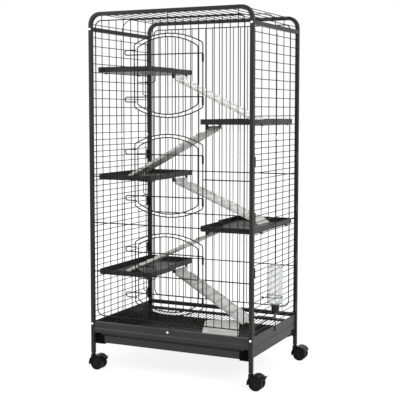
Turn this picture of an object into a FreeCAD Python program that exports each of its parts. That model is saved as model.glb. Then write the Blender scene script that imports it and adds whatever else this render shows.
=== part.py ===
"""A tall small animal cage on casters, as a parametric document.

Millimetres. +X runs to the right along the front, +Y to the back and +Z up.
The origin is on the floor, under the middle of the cage.
"""
import FreeCAD
import Part
import Sketcher
import math
import os
import re
from types import SimpleNamespace

V = FreeCAD.Vector

# Driving dimensions: name, value, meaning
SIZES = [
    ("height", 1304, "floor to the top of the frame"),
    ("post_pitch_x", 630, "between post centres, along the front"),
    ("post_pitch_y", 442, "between post centres, front to back"),
    ("tube", 14, "side of the square frame tube"),
    ("tube_wall", 1.2, "wall of the frame tube"),
    ("tube_corner", 2, "outer corner radius of the tube's section"),
    ("bend_radius", 38, "centre line radius of the frame's bends"),
    ("post_foot_z", 57.6, "height of the posts' lower ends"),
    ("top_rail_drop", 60, "side top rails' centre, below the top"),
    ("screw_d", 4, "screw shank"),
    ("screw_head_d", 9, "screw head"),
    ("screw_head_h", 2.6, "screw head height"),
    ("screw_gap", 0.2, "clearance of a shank in its hole"),
    ("base_screw_z", 168.5, "height of the screws that hold the base"),
    ("rail_screw_length", 17, "shank of the screws into the top rails"),
    ("base_screw_length", 13.5, "shank of the base screws"),
    ("mid_screw_length", 8, "shank of the front rail's screw"),
    ("sheet", 1.2, "thickness of the folded sheet parts"),
    ("front_rail_top_z", 177, "top of the front base rail"),
    ("front_rail_step_z", 154, "height of the rail's step"),
    ("front_rail_low_z", 136, "bottom of the front base rail"),
    ("front_rail_step", 3, "how far the lower strip stands proud"),
    ("front_rail_flange", 18, "depth of the front rail's flanges"),
    ("back_rail_top_z", 180, "top of the back base rail"),
    ("side_panel_top_z", 181, "top of the base side panels"),
    ("side_panel_low_z", 107, "bottom of the base side panels"),
    ("side_panel_flange", 15, "depth of the base side panels' flanges"),
    ("bead_depth", 2.6, "depth of the pressed beads"),
    ("bead_width", 16, "width of a pressed bead"),
    ("runner_reach", 37, "how far a tray runner reaches inwards"),
    ("runner_drop", 8, "height of a tray runner's lip"),
    ("ledge_top_z", 152.5, "height that the floor grate lies on"),
    ("ledge_depth", 18, "depth of the grate ledges"),
    ("ledge_lip", 12, "height of the grate ledges' upright legs"),
    ("grate_wire", 2.6, "floor grate wire"),
    ("grate_pitch", 15, "between floor grate wires"),
    ("grate_cross_wire", 3, "cross wires under the floor grate"),
    ("tray_side_gap", 22, "between the tray and a post's inner face"),
    ("tray_front_gap", 12, "tray's front, behind the front posts' inner face"),
    ("tray_back_gap", 16, "tray's back, before the back posts' inner face"),
    ("tray_wall_top_z", 128, "top of the tray's walls"),
    ("tray_front_top_z", 134.5, "top of the tray's front"),
    ("tray_lip", 9, "depth of the tray's finger lip"),
    ("tray_gap", 0.3, "clearance over the runners"),
    ("border_wire", 4, "border and cross wires of the panels"),
    ("upright_wire", 3, "upright wires of the panels"),
    ("upright_pitch", 29.6, "between upright wires"),
    ("panel_shift", -4, "the panels' middle wire, from the middle"),
    ("panel_edge_gap", 17, "between a panel's border wire and the posts, on average"),
    ("panel_low_z", 201, "border wire's lower run"),
    ("panel_top_drop", 31, "border wire's upper run, below the top"),
    ("panel_corner", 22, "border wire's corner radius"),
    ("cross_drop", 10, "cross wires, below a door's middle"),
    ("door_foot_gap", 26.5, "lowest opening above the panel's border"),
    ("door_head_gap", 54.5, "highest opening below the panel's border"),
    ("door_between", 59, "between two openings"),
    ("opening_left_gap", 13, "opening border to the door's left side"),
    ("opening_right_gap", 18, "opening border to the door's right side"),
    ("opening_rise", 35, "rise of the opening's arch"),
    ("opening_corner", 9, "corner radius of the opening's border"),
    ("door_inset", 11, "door outline inside the border, above and below"),
    ("door_forward", 0.4, "door in front of the panel, as running clearance"),
    ("door_span", 4, "upright pitches from a door's middle to its side"),
    ("door_bar_inset", 25.5, "door's cross bars inside the ends of its straight sides"),
    ("hairpin_reach", 36, "hairpin stop past the opening's border"),
    ("hairpin_height", 17, "height of a hairpin stop"),
    ("hairpin_return", 45, "length of a hairpin's return leg"),
    ("hinge_length", 27, "hinge sleeve"),
    ("hinge_od", 7.6, "hinge sleeve's outside"),
    ("hinge_gap", 0.05, "radial running clearance in a hinge sleeve"),
    ("latch_width", 74, "latch loop, along X"),
    ("latch_height", 48, "latch loop, along Z"),
    ("latch_wire", 3, "latch wire"),
    ("latch_left_gap", 8, "rest place of the loop, inside the opening's border"),
    ("latch_corner", 9, "corner radius of the latch loop"),
    ("latch_guide_od", 6.4, "outside of the latch guides"),
    ("latch_guide_length", 9, "latch guides"),
    ("latch_gap", 0.05, "radial running clearance in a latch guide"),
    ("handle_drop", 46, "latch handle below the loop"),
    ("handle_reach", 26, "latch handle's hook"),
    ("handle_inset", 20, "latch handle from the loop's left end"),
    ("side_wire", 2.8, "flat wires of the sides and the roof"),
    ("side_upright", 3, "upright wires of the sides"),
    ("upper_top_drop", 88.6, "highest wire of the upper sides, below the top"),
    ("upper_pitch", 31.4, "between wires of the upper sides and the roof"),
    ("upper_count", 12, "wires in an upper side"),
    ("side_join", 25, "between the end wires of the upper and lower sides"),
    ("lower_pitch", 21.1, "between wires of the lower sides"),
    ("lower_foot_gap", 9, "least gap under the lowest wire of the sides"),
    ("side_edge_inset", 8, "edge upright from the post's face"),
    ("side_tail_z", 156, "lower end of the middle upright"),
    ("side_tip", 8, "uprights past the end wires"),
    ("roof_drop", 7, "roof wires, below the top"),
    ("roof_edge_gap", 24, "least gap between a roof wire and the posts' inner face"),
    ("hoop_radius", 40, "bend radius of the roof hoop"),
    ("hoop_side_drop", 42, "side wire of the roof, below the top"),
    ("clip_height", 35, "side panel clips"),
    ("clip_width", 12, "side panel clips, along Y"),
    ("clip_thick", 5.6, "side panel clips, along X"),
    ("clip_low_z", 209, "lowest clip's middle"),
    ("clip_top_drop", 66.6, "highest clip's middle, below the lower sides' highest wire"),
    ("platform_front_gap", 31, "left platforms' front edge, behind the front posts"),
    ("platform_back_gap", 9, "left platforms' back edge, before the back posts"),
    ("platform_step_y", 10, "where the ramp's recess begins"),
    ("platform_reach_x", 95, "platform's free edge, from the middle"),
    ("platform_recess_x", 112, "recessed edge that takes the ramp"),
    ("platform_rim", 18.5, "height of a platform"),
    ("platform_wall", 2.5, "wall and floor of a platform"),
    ("platform_corner", 10, "corner radius of a platform"),
    ("platform_wall_gap", 0.5, "between a platform and the side wires"),
    ("platform_top_drop", 212.7, "underside of the top platform, below the top"),
    ("platform_low_z", 347, "underside of the lowest platform"),
    ("platform_2_shift", -2.2, "upper right platform, from even steps"),
    ("platform_3_shift", -20.3, "middle left platform, from even steps"),
    ("platform_4_shift", -2.1, "lower right platform, from even steps"),
    ("hook_width", 16, "platform hooks"),
    ("hook_thick", 2.2, "platform hooks"),
    ("hook_drop", 3.5, "hook's lip below its wire"),
    ("hook_inset", 70, "hooks from the platform's ends"),
    ("hook_gap", 0.1, "hook over its wire"),
    ("ramp_length", 372, "ramp, along its slope"),
    ("low_ramp_length", 325, "lowest ramp, along its slope"),
    ("ramp_width", 100, "ramp, along Y"),
    ("ramp_start_y", 48, "ramp's side, from the middle"),
    ("ramp_thick", 4, "ramp's plate"),
    ("ramp_hook", 3.5, "thickness of the ramp's hook"),
    ("ramp_hook_drop", 3, "end of the ramp's hook, below the bar's middle"),
    ("ramp_gap", 0.2, "ramp's hook round its bar"),
    ("ramp_tab", 9, "ramp's plate, below the bar's middle"),
    ("ramp_toe", 3, "height of the ramp's front edge"),
    ("ramp_side_rail", 5, "height and thickness of the ramp's side rails"),
    ("ramp_bar_d", 6, "bar under a platform that its ramp hangs on"),
    ("ramp_bar_drop", 13, "middle of the bar, below the platform"),
    ("ramp_bar_inset", 4.5, "middle of the bar, inside the platform's edge"),
    ("ramp_lug", 5, "lugs that carry the bar, along Y"),
    ("ramp_lug_gap", 2, "between a lug and the ramp"),
    ("tread_pitch", 37, "between the ramp's treads"),
    ("tread_height", 7, "ramp's treads"),
    ("tread_width", 13, "foot of a tread"),
    ("mat_width", 130, "landing mat"),
    ("mat_length", 262, "landing mat"),
    ("mat_thick", 3, "landing mat"),
    ("mat_corner", 20, "landing mat's corner radius"),
    ("mat_x", 124, "landing mat's middle"),
    ("mat_y", -47, "landing mat's middle"),
    ("mat_turn", 22, "landing mat's angle on the floor, in degrees"),
    ("wheel_d", 50, "caster wheels"),
    ("wheel_width", 15, "one wheel of the pair"),
    ("wheel_hub_d", 26, "wheel's hub face"),
    ("wheel_dish", 2.5, "dished depth of a wheel's face"),
    ("wheel_round", 3, "rounding of a wheel's tread"),
    ("caster_trail", 22, "stem to axle"),
    ("axle_d", 6, "caster axle"),
    ("axle_gap", 0.05, "radial running clearance on an axle"),
    ("web", 9, "hood's web between the wheels"),
    ("wheel_side_gap", 0.5, "between a wheel and the web"),
    ("hood_gap", 2.5, "hood over the wheels"),
    ("hood_wall", 2.5, "hood's shell"),
    ("hood_width", 44, "hood, along the axle"),
    ("hood_low_z", 19, "lower edge of the hood's back"),
    ("stem_d", 8, "caster stem"),
    ("stem_gap", 0.05, "radial running clearance on a stem"),
    ("stem_boss_d", 20, "hood's boss round the stem"),
    ("stem_low_z", 36, "stem's lower end"),
    ("stem_collar_d", 13, "stem's collar"),
    ("stem_collar_h", 5, "stem's collar"),
    ("insert_height", 24, "square insert in the post's end"),
    ("insert_gap", 0.15, "insert in the tube"),
    ("brake_reach", 58, "brake lever's tip, from the stem"),
    ("brake_width", 26, "brake lever, along the axle"),
    ("brake_thick", 3, "brake lever's plate"),
    ("brake_pin_d", 4, "brake lever's pin"),
    ("brake_pin_gap", 0.05, "radial running clearance on the brake's pin"),
    ("brake_eye_d", 8, "brake lever's eyes round the pin"),
    ("brake_cheek", 4, "brake lever's eyes, along the pin"),
    ("brake_pin_angle", 50, "brake's pin above the axle, in degrees"),
    ("bottle_d", 49, "water bottle"),
    ("bottle_wall", 1.6, "water bottle's wall"),
    ("bottle_low_z", 269, "bottle's neck end"),
    ("bottle_top_z", 412, "bottle's closed end"),
    ("bottle_shoulder", 9, "height of the bottle's shoulder"),
    ("bottle_neck_d", 22, "bottle's neck"),
    ("bottle_neck_h", 14, "bottle's neck inside the cap"),
    ("bottle_y", -82, "bottle, front to back"),
    ("bottle_wall_gap", 5, "between the bottle and the side's uprights"),
    ("cap_d", 28, "bottle cap"),
    ("cap_h", 25, "bottle cap"),
    ("cap_floor", 6, "bottle cap's end"),
    ("spout_d", 8, "drinking spout"),
    ("spout_wall", 0.8, "drinking spout's wall"),
    ("spout_bend", 14, "bend radius of the spout"),
    ("spout_reach", 34, "spout inside the side wires"),
    ("holder_wire", 2.6, "bottle holder's wire"),
    ("holder_rise", 29, "side wire that the bottle holder lies on, above the bottle's neck"),
    ("holder_gap", 0.2, "bottle in its holder"),
    ("holder_ball_d", 7, "ends of the bottle holder"),
]

doc = FreeCAD.newDocument("cage")
sheet = doc.addObject("Spreadsheet::Sheet", "Sizes")
for row, (alias, value, meaning) in enumerate(SIZES, start=1):
    sheet.set(f"A{row}", meaning)
    sheet.set(f"B{row}", str(value))
    sheet.setAlias(f"B{row}", alias)
doc.recompute()
S = SimpleNamespace(**{alias: sheet.get(alias) for alias, value, meaning in SIZES})
NAME = re.compile(r"[A-Za-z_]\w*")

# Rotations that lay a +Z rod along an axis
ALONG = {
    "X": FreeCAD.Rotation(V(0, 1, 0), 90),
    "Y": FreeCAD.Rotation(V(1, 0, 0), -90),
    "Z": FreeCAD.Rotation(),
}
# Sketch planes: rotation of the sketch, and the direction that it is extruded in
PLANES = {
    "XY": (FreeCAD.Rotation(), V(0, 0, 1)),
    "XZ": (FreeCAD.Rotation(V(1, 0, 0), 90), V(0, 1, 0)),
    "YZ": (FreeCAD.Rotation(V(1, 1, 1), 120), V(1, 0, 0)),
}

# Places that several pieces share, as formulas of the sizes
POST_X = "post_pitch_x/2"
POST_Y = "post_pitch_y/2"
INNER_X = "(post_pitch_x/2 - tube/2)"
INNER_Y = "(post_pitch_y/2 - tube/2)"
TOP_BAR_UNDER = "(height - tube)"
SIDE_X = "(post_pitch_x/2)"
SIDE_UPRIGHT_X = "(post_pitch_x/2 + side_wire/2 + side_upright/2)"
BASE_PANEL_X = "(post_pitch_x/2 + side_wire/2)"
UPRIGHT_Y = "(post_pitch_y/2 - border_wire/2 - upright_wire/2)"
CROSS_Y = "(post_pitch_y/2 - border_wire - upright_wire)"
DOOR_LEFT = "(panel_shift - door_span*upright_pitch)"
DOOR_RIGHT = "(panel_shift + door_span*upright_pitch)"
OPENING_LEFT = "(panel_shift - door_span*upright_pitch - opening_left_gap)"
OPENING_RIGHT = "(panel_shift + door_span*upright_pitch + opening_right_gap)"
GRATE_Z = "(ledge_top_z + grate_wire/2)"
GRATE_TOP = "(ledge_top_z + grate_wire)"
WALL_X = "(post_pitch_x/2 - side_wire/2 - platform_wall_gap)"
BOTTLE_X = "(post_pitch_x/2 + side_wire/2 + side_upright + bottle_wall_gap + bottle_d/2)"
TOP_RAIL_Z = "(height - top_rail_drop)"
PANEL_TOP = "(height - panel_top_drop)"
OPENING_HEIGHT = f"(({PANEL_TOP} - panel_low_z - door_foot_gap - door_head_gap - 2*door_between)/3)"
OPENING_HALF = f"({OPENING_HEIGHT}/2 - opening_rise)"
OPENING_REACH = "(door_span*upright_pitch + (opening_left_gap + opening_right_gap)/2)"
OPENING_ARCH = f"(({OPENING_REACH}^2 + opening_rise^2)/(2*opening_rise))"
DOOR_BAR = f"({OPENING_HALF} - door_inset - door_bar_inset)"
LOW_DOOR = f"(panel_low_z + door_foot_gap + {OPENING_HEIGHT}/2)"
MID_DOOR = f"({LOW_DOOR} + {OPENING_HEIGHT} + door_between)"
TOP_DOOR = f"({MID_DOOR} + {OPENING_HEIGHT} + door_between)"
DOORS = {1: TOP_DOOR, 2: MID_DOOR, 3: LOW_DOOR}
CROSS_LOW = f"({LOW_DOOR} - cross_drop)"
CROSS_MID = f"(({LOW_DOOR} + {MID_DOOR})/2 - cross_drop/2)"
CROSS_HIGH = f"({MID_DOOR} - cross_drop)"
UPPER_LOW = "(height - upper_top_drop - (upper_count - 1)*upper_pitch)"
LOWER_HIGH = f"({UPPER_LOW} - side_join)"
ROOF_Z = "(height - roof_drop)"
CLIP_PITCH = f"(({LOWER_HIGH} - clip_top_drop - clip_low_z)/3)"
LEVEL_STEP = "((height - platform_top_drop - platform_low_z)/4)"
PLATFORMS = {
    1: "(height - platform_top_drop)",
    2: f"(platform_low_z + 3*{LEVEL_STEP} + platform_2_shift)",
    3: f"(platform_low_z + 2*{LEVEL_STEP} + platform_3_shift)",
    4: f"(platform_low_z + {LEVEL_STEP} + platform_4_shift)",
    5: "platform_low_z",
}
TRAY_WIDTH = f"(2*{INNER_X} - 2*tray_side_gap)"
TRAY_FRONT = f"(-{INNER_Y} + tray_front_gap)"
TRAY_BACK = f"({INNER_Y} - tray_back_gap)"
PLATFORM_FRONT = f"(-{INNER_Y} + platform_front_gap)"
PLATFORM_BACK = f"({INNER_Y} - platform_back_gap)"
PANEL_HALF = f"({INNER_X} - panel_edge_gap)"


def spell(formula):
    """Write a formula of size names as an expression on the sheet."""
    def on_sheet(match):
        word = match.group(0)
        return f"Sizes.{word}" if hasattr(S, word) else word
    return NAME.sub(on_sheet, str(formula))


def number(formula):
    """The value of a formula of size names."""
    return float(sheet.evalExpression(spell(formula)))


def bind(thing, **formulas):
    """Tie properties of an object to the sheet."""
    for name, formula in formulas.items():
        thing.setExpression(name, spell(formula))


def move(thing, x=0, y=0, z=0):
    """Tie an object's place to the sheet."""
    for axis, formula in (("x", x), ("y", y), ("z", z)):
        thing.setExpression(f"Placement.Base.{axis}", spell(formula))


def rod(axis, x, y, z, length, dia):
    """A straight wire or pin that starts at x, y, z and runs along an axis."""
    thing = doc.addObject("Part::Cylinder", "Rod")
    thing.Placement = FreeCAD.Placement(V(), ALONG[axis])
    bind(thing, Radius=f"({dia})/2", Height=length)
    move(thing, x, y, z)
    return thing


def box(x, y, z, dx, dy, dz):
    """A block from its lowest corner and its sizes."""
    thing = doc.addObject("Part::Box", "Block")
    bind(thing, Length=dx, Width=dy, Height=dz)
    move(thing, x, y, z)
    return thing


def cut(base, tool):
    thing = doc.addObject("Part::Cut", "Cut")
    thing.Base = base
    thing.Tool = tool
    return thing


def fuse(pieces):
    thing = doc.addObject("Part::MultiFuse", "Joined")
    thing.Shapes = pieces
    thing.Refine = True
    return thing


def gather(pieces):
    """Several separate solids as one object."""
    thing = doc.addObject("Part::Compound", "Group")
    thing.Links = pieces
    return thing


def prism(plane, points, start, depth):
    """A sketched outline, each corner tied to the sheet, extruded along its plane's axis."""
    turn, along = PLANES[plane]
    sketch = doc.addObject("Sketcher::SketchObject", "Outline")
    sketch.Placement = FreeCAD.Placement(V(), turn)
    corners = [V(number(x), number(y), 0) for x, y in points]
    count = len(corners)
    for i in range(count):
        sketch.addGeometry(Part.LineSegment(corners[i], corners[(i + 1) % count]))
    for i in range(count):
        sketch.addConstraint(Sketcher.Constraint("Coincident", i, 2, (i + 1) % count, 1))
    for i, (x, y) in enumerate(points):
        for kind, formula, value in (("DistanceX", x, corners[i].x), ("DistanceY", y, corners[i].y)):
            place = sketch.addConstraint(Sketcher.Constraint(kind, -1, 1, i, 1, value))
            sketch.setExpression(f"Constraints[{place}]", spell(formula))
    name = {"XY": "z", "XZ": "y", "YZ": "x"}[plane]
    sketch.setExpression(f"Placement.Base.{name}", spell(start))
    thing = doc.addObject("Part::Extrusion", "Prism")
    thing.Base = sketch
    thing.DirMode = "Custom"
    thing.Dir = along
    thing.Solid = True
    bind(thing, LengthFwd=depth)
    return thing


def drawn(shape, name):
    """A path or outline that is worked out from the sheet's values."""
    thing = doc.addObject("Part::Feature", name)
    thing.Shape = shape
    return thing


def arc_between(start, corner, end, radius):
    """The tangent arc of a bend at a corner, as its two ends and its middle."""
    back = (start - corner).normalize()
    ahead = (end - corner).normalize()
    half = back.getAngle(ahead) / 2
    inward = (back + ahead).normalize()
    centre = corner + inward * (radius / math.sin(half))
    reach = radius / math.tan(half)
    middle = centre - inward * radius
    return corner + back * reach, middle, corner + ahead * reach


def bent_path(points, radius, closed=False):
    """Straight runs joined by tangent bends of one radius."""
    points = [V(*p) for p in points]
    count = len(points)
    corners = range(count) if closed else range(1, count - 1)
    bends = [arc_between(points[i - 1], points[i], points[(i + 1) % count], radius) for i in corners]
    edges = []
    here = bends[-1][2] if closed else points[0]
    for first, middle, last in bends:
        if (first - here).Length > 1e-6:
            edges.append(Part.LineSegment(here, first).toShape())
        edges.append(Part.Arc(first, middle, last).toShape())
        here = last
    if not closed:
        edges.append(Part.LineSegment(here, points[-1]).toShape())
    return Part.Wire(edges)


def arched_path(left, right, middle_z, half_height, rise, corner, y):
    """A closed outline with upright sides and an arch above and below."""
    centre_x = (left + right) / 2
    half = (right - left) / 2
    arch = (half ** 2 + rise ** 2) / (2 * rise)
    arch_z = half_height + rise - arch
    bend_x = half - corner
    bend_z = arch_z + math.sqrt((arch - corner) ** 2 - bend_x ** 2)
    lean = math.atan2(bend_z - arch_z, bend_x)
    end_x = arch * math.cos(lean)
    end_z = arch_z + arch * math.sin(lean)
    mid_x = bend_x + corner * math.cos(lean / 2)
    mid_z = bend_z + corner * math.sin(lean / 2)

    def at(x, z):
        return V(centre_x + x, y, middle_z + z)
    edges = []
    for side in (1, -1):
        edges.append(Part.LineSegment(at(side * half, -side * bend_z), at(side * half, side * bend_z)))
        edges.append(Part.Arc(at(side * half, side * bend_z), at(side * mid_x, side * mid_z),
                              at(side * end_x, side * end_z)))
        edges.append(Part.Arc(at(side * end_x, side * end_z), at(0, side * (half_height + rise)),
                              at(-side * end_x, side * end_z)))
        edges.append(Part.Arc(at(-side * end_x, side * end_z), at(-side * mid_x, side * mid_z),
                              at(-side * half, side * bend_z)))
    return Part.Wire([edge.toShape() for edge in edges])


def sweep(profile, path):
    """A section carried along a path."""
    thing = doc.addObject("Part::Sweep", "Sweep")
    thing.Sections = [profile]
    thing.Spine = (path, [f"Edge{i + 1}" for i in range(len(path.Shape.Edges))])
    thing.Solid = True
    thing.Frenet = False
    return thing


def bent_rod(wire, dia):
    """A round wire bent along a path."""
    path = drawn(wire, "Path")
    first = wire.OrderedEdges[0]
    start = first.valueAt(first.FirstParameter)
    tangent = first.tangentAt(first.FirstParameter)
    profile = doc.addObject("Part::Circle", "Section")
    profile.Placement = FreeCAD.Placement(start, FreeCAD.Rotation(V(0, 0, 1), tangent))
    bind(profile, Radius=f"({dia})/2")
    return sweep(profile, path)


def rounded_square(side, corner, centre):
    """A square section with rounded corners, flat in XY."""
    half = side / 2
    points = [(half, half, 0), (-half, half, 0), (-half, -half, 0), (half, -half, 0)]
    wire = bent_path(points, corner, closed=True)
    wire.translate(centre)
    return wire


def round_off(base, radius, wanted):
    """Fillet the edges of a solid that a test picks."""
    doc.recompute()
    edges = [i for i, edge in enumerate(base.Shape.Edges, start=1) if wanted(edge)]
    thing = doc.addObject("Part::Fillet", "Rounded")
    thing.Base = base
    thing.Edges = [(i, radius, radius) for i in edges]
    return thing


def upright(edge):
    """Whether an edge is straight and runs along Z."""
    if not isinstance(edge.Curve, Part.Line):
        return False
    return abs(edge.tangentAt(edge.FirstParameter).z) > 0.999


def mirrored_points(points, side):
    """The same outline on the other side, with its first coordinate turned round."""
    return [(f"{side}*({x})", y) for x, y in points]


nodes = {}


def node(name, thing):
    """Hand in an object as a named piece."""
    thing.Label = name
    nodes[name] = thing


def frame(name, side):
    """One inverted U of square tube, drilled for its screws."""
    x, y = S.post_pitch_x / 2, side * S.post_pitch_y / 2
    top = S.height - S.tube / 2
    route = [(-x, y, S.post_foot_z), (-x, y, top), (x, y, top), (x, y, S.post_foot_z)]
    path = drawn(bent_path(route, S.bend_radius), "FramePath")
    foot = V(-x, y, S.post_foot_z)
    outside = drawn(rounded_square(S.tube, S.tube_corner, foot), "TubeSection")
    inside = drawn(rounded_square(S.tube - 2 * S.tube_wall, S.tube_corner / 2, foot), "TubeBore")
    tube = cut(sweep(outside, path), sweep(inside, path))
    holes = [rod("Y", f"{sx}*{POST_X}", f"{side}*{POST_Y} - tube", z, "2*tube", "screw_d + 2*screw_gap")
             for sx in (-1, 1) for z in (TOP_RAIL_Z, "base_screw_z")]
    node(name, cut(tube, gather(holes)))


def hollow_bar(x, y, z, dx, dy, dz, open_axis):
    """A square tube with open ends."""
    outer = box(x, y, z, dx, dy, dz)
    grow = {axis: ("0" if axis == open_axis else "tube_wall") for axis in "XYZ"}
    inner = box(f"{x} + {grow['X']}", f"{y} + {grow['Y']}", f"{z} + {grow['Z']}",
                f"{dx} - 2*{grow['X']}", f"{dy} - 2*{grow['Y']}", f"{dz} - 2*{grow['Z']}")
    return cut(outer, inner)


def frame_parts():
    frame("front_frame", -1)
    frame("back_frame", 1)
    for name, side in (("left_top_rail", -1), ("right_top_rail", 1)):
        node(name, hollow_bar(f"{side}*{POST_X} - tube/2", f"-{INNER_Y}", f"{TOP_RAIL_Z} - tube/2",
                              "tube", f"2*{INNER_Y}", "tube", "Y"))
    screws = []
    for sx in (-1, 1):
        for sy in (-1, 1):
            for z, reach in ((TOP_RAIL_Z, "rail_screw_length"), ("base_screw_z", "base_screw_length")):
                screws.append(screw(f"{sx}*{POST_X}", sy, f"({POST_Y} + tube/2)", z, reach))
    screws.append(screw("panel_shift", -1, f"({POST_Y} + tube/2 - front_rail_step)", MID_SCREW_Z, "mid_screw_length"))
    node("frame_screws", gather(screws))


MID_SCREW_Z = "(front_rail_step_z + (front_rail_top_z - front_rail_step_z)/2)"


def screw(x, side, face_y, z, length):
    """A round-headed screw that points inwards from a face at the front or the back."""
    turn = {-1: FreeCAD.Rotation(V(1, 0, 0), -90), 1: FreeCAD.Rotation(V(1, 0, 0), 90)}[side]
    shank = rod("Z", 0, 0, 0, length, "screw_d")
    head = rod("Z", 0, 0, "-screw_head_h", "screw_head_h", "screw_head_d")
    dome = round_off(head, S.screw_head_h * 0.8,
                     lambda edge: abs(edge.BoundBox.ZMax + S.screw_head_h) < 1e-6)
    whole = fuse([shank, dome])
    whole.Placement = FreeCAD.Placement(V(), turn)
    move(whole, x, f"{side}*{face_y}", z)
    return whole


def folded_strip(points, thick):
    """Close an open fold line, given outside first, by its copy one thickness in."""
    return points + [(f"{x} + ({dx})*{thick}", f"{y} + ({dy})*{thick}")
                     for (x, y), (dx, dy) in reversed(list(zip(points, fold_offsets(points))))]


def fold_offsets(points):
    """Which way the sheet's thickness lies at each corner of a fold line of square corners."""
    places = [(number(x), number(y)) for x, y in points]
    sides = []
    for (x0, y0), (x1, y1) in zip(places, places[1:]):
        run = math.hypot(x1 - x0, y1 - y0)
        sides.append((-(y1 - y0) / run, (x1 - x0) / run))
    offsets = [sides[0]]
    for (ax, ay), (bx, by) in zip(sides, sides[1:]):
        scale = 1 + ax * bx + ay * by
        offsets.append(((ax + bx) / scale, (ay + by) / scale))
    offsets.append(sides[-1])
    return offsets


def base_parts():
    between = f"2*{INNER_X}"
    face = f"(-{POST_Y} - tube/2)"
    upper = f"({face} + front_rail_step)"
    lip = f"({face} + front_rail_flange)"
    fold = [(lip, "front_rail_low_z"), (face, "front_rail_low_z"), (face, "front_rail_step_z"),
            (upper, "front_rail_step_z"), (upper, "front_rail_top_z"), (lip, "front_rail_top_z")]
    rail = prism("YZ", folded_strip(fold, "-sheet"), f"-{INNER_X}", between)
    hole = rod("Y", "panel_shift", f"{face} - 1", MID_SCREW_Z, "10", "screw_d + 2*screw_gap")
    node("front_base_rail", cut(rail, hole))
    node("back_base_rail", hollow_bar(f"-{INNER_X}", f"{POST_Y} - tube/2", "back_rail_top_z - tube",
                                      between, "tube", "tube", "X"))
    front_leg = f"({upper} + sheet)"
    front_ledge = [(front_leg, "front_rail_top_z - 2*sheet"), (front_leg, "ledge_top_z - sheet"),
                   (f"{front_leg} + ledge_depth", "ledge_top_z - sheet")]
    front = prism("YZ", folded_strip(front_ledge, "sheet"), f"-{INNER_X}", between)
    front_hole = rod("Y", "panel_shift", f"{face}", MID_SCREW_Z, "20", "screw_d + 2*screw_gap")
    back_ledge = [(f"{POST_Y}", "ledge_top_z - ledge_lip"), (f"{POST_Y}", "ledge_top_z"),
                  (f"{POST_Y} - ledge_depth", "ledge_top_z")]
    back = prism("YZ", folded_strip(back_ledge, "sheet"), f"-{INNER_X}", between)
    node("grate_ledges", gather([cut(front, front_hole), back]))
    runners = []
    for name, side in (("left", -1), ("right", 1)):
        base_panel(f"{name}_base_panel", side)
        runner = [(f"{INNER_X} - runner_reach", "side_panel_low_z"), (INNER_X, "side_panel_low_z"),
                  (INNER_X, "side_panel_low_z - runner_drop")]
        outline = mirrored_points(folded_strip(runner, "-sheet"), side)
        runners.append(prism("XZ", outline, f"-{INNER_Y}", f"2*{INNER_Y}"))
    node("tray_runners", gather(runners))


def base_panel(name, side):
    """A tall folded sheet with lengthwise beads pressed inwards."""
    inner = f"({BASE_PANEL_X} - side_panel_flange)"
    pressed = f"({BASE_PANEL_X} - bead_depth)"
    fold = [(inner, "side_panel_low_z"), (BASE_PANEL_X, "side_panel_low_z")]
    for share in BEAD_PLACES:
        middle = f"(side_panel_low_z + {share}*(side_panel_top_z - side_panel_low_z))"
        fold += [(BASE_PANEL_X, f"{middle} - bead_width/2"), (pressed, f"{middle} - bead_width/2 + bead_depth"),
                 (pressed, f"{middle} + bead_width/2 - bead_depth"), (BASE_PANEL_X, f"{middle} + bead_width/2")]
    fold += [(BASE_PANEL_X, "side_panel_top_z"), (inner, "side_panel_top_z")]
    outline = mirrored_points(folded_strip(fold, "sheet"), side)
    node(name, prism("XZ", outline, f"-{INNER_Y}", f"2*{INNER_Y}"))


# Beads on a base side panel, as shares of its height
BEAD_PLACES = (0.27, 0.64)


def grate_and_tray():
    reach = number(f"{INNER_X} - 3*grate_wire")
    rows = int(reach / S.grate_pitch)
    start = f"(-{POST_Y} + tube/4)"
    length = f"(2*{POST_Y} - tube/2)"
    wires = [rod("Y", f"{k}*grate_pitch", start, GRATE_Z, length, "grate_wire") for k in range(-rows, rows + 1)]
    low = f"(ledge_top_z - grate_cross_wire/2)"
    half = f"({rows}*grate_pitch + 2*grate_wire)"
    for share in GRATE_CROSS_PLACES:
        wires.append(rod("X", f"-{half}", f"{share}*({POST_Y} - tube - ledge_depth)", low, f"2*{half}",
                         "grate_cross_wire"))
    node("floor_grate", gather(wires))

    low = "(side_panel_low_z + tray_gap)"
    depth = f"({TRAY_BACK} - {TRAY_FRONT})"
    left = f"-{TRAY_WIDTH}/2"
    outer = box(left, TRAY_FRONT, low, TRAY_WIDTH, depth, f"tray_wall_top_z - {low}")
    inner = box(f"{left} + sheet", f"{TRAY_FRONT} + sheet", f"{low} + sheet", f"{TRAY_WIDTH} - 2*sheet",
                f"{depth} - 2*sheet", "tray_wall_top_z")
    lip = f"({TRAY_FRONT} - tray_lip)"
    fold = [(TRAY_FRONT, low), (TRAY_FRONT, "tray_front_top_z"), (lip, "tray_front_top_z"),
            (lip, "tray_front_top_z - tray_lip")]
    front = prism("YZ", folded_strip(fold, "-sheet"), left, TRAY_WIDTH)
    node("slide_tray", fuse([cut(outer, inner), front]))


# Cross wires under the grate, as shares of half its depth
GRATE_CROSS_PLACES = (-1, -0.33, 0.33, 1)


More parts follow.
